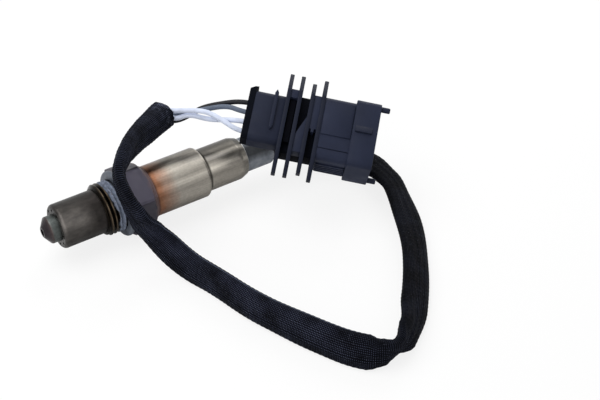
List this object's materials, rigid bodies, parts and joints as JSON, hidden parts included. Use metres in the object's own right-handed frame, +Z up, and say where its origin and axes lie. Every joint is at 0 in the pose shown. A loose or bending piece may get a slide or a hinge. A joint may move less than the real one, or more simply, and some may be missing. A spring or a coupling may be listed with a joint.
{
  "type": "oxygen sensor",
  "caption": "Exhaust oxygen sensor with a threaded hexagon shell and gas-hole probe, a long braided loom and a finned rectangular plug on four short leads.",
  "frame": {"origin": "centre of the gasket's sealing face, on the sensor's axis", "axes": "+X along the sensor's axis from the probe tip towards the cable, +Z up from the surface that the part lies on"},
  "size_m": [0.1204, 0.117, 0.0409],
  "materials": {
    "probe_steel": "dark, heat-stained, satin",
    "dome_steel": "dark gunmetal, heat-tinted, satin",
    "shell_steel": "worn steel with a purple cast, satin",
    "gasket_steel": "bright pressed steel, satin",
    "sleeve_steel": "brushed stainless with a warm heat tint",
    "zirconia": "matt fired ceramic",
    "ceramic": "matt fired ceramic",
    "talc": "pressed powder, matt",
    "contact_nickel": "plated spring strip, satin",
    "grommet_rubber": "light grey, mottled, matt",
    "braid_black": "black braided filament, matt with fine glints",
    "plug_plastic": "dark navy-black moulded plastic, matt",
    "lock_plastic": "black moulded plastic, matt",
    "wire_white": "bluish white insulation, soft gloss",
    "wire_grey": "slate grey insulation, soft gloss",
    "wire_black": "black insulation, soft gloss",
    "terminal_brass": "tinned brass, bright",
    "seal_rubber": "grey silicone rubber, matt"
  },
  "bodies": {
    "root": {"outer_protection_tube": "probe_steel", "inner_protection_tube": "dome_steel", "threaded_hex_shell": "shell_steel", "gasket_ring": "gasket_steel", "sensing_element": "zirconia", "front_ceramic_bush": "ceramic", "powder_seal": "talc", "rear_ceramic_bush": "ceramic", "clamp_ring": "gasket_steel", "protective_sleeve": "sleeve_steel", "contact_holder": "ceramic", "contact_spring_ring": "contact_nickel", "grommet": "grommet_rubber", "braided_sleeve": "braid_black", "connector_housing": "plug_plastic", "rear_cover": "plug_plastic", "terminal_lock": "lock_plastic", "contact_clip_1": "contact_nickel", "sensor_lead_black": "wire_black", "plug_lead_black": "wire_black", "terminal_pin_1": "terminal_brass", "wire_seal_1": "seal_rubber", "contact_clip_2": "contact_nickel", "sensor_lead_grey": "wire_grey", "plug_lead_grey": "wire_grey", "terminal_pin_2": "terminal_brass", "wire_seal_2": "seal_rubber", "contact_clip_3": "contact_nickel", "sensor_lead_white_1": "wire_white", "plug_lead_white_1": "wire_white", "terminal_pin_3": "terminal_brass", "wire_seal_3": "seal_rubber", "contact_clip_4": "contact_nickel", "sensor_lead_white_2": "wire_white", "plug_lead_white_2": "wire_white", "terminal_pin_4": "terminal_brass", "wire_seal_4": "seal_rubber"}
  },
  "joints": []
}
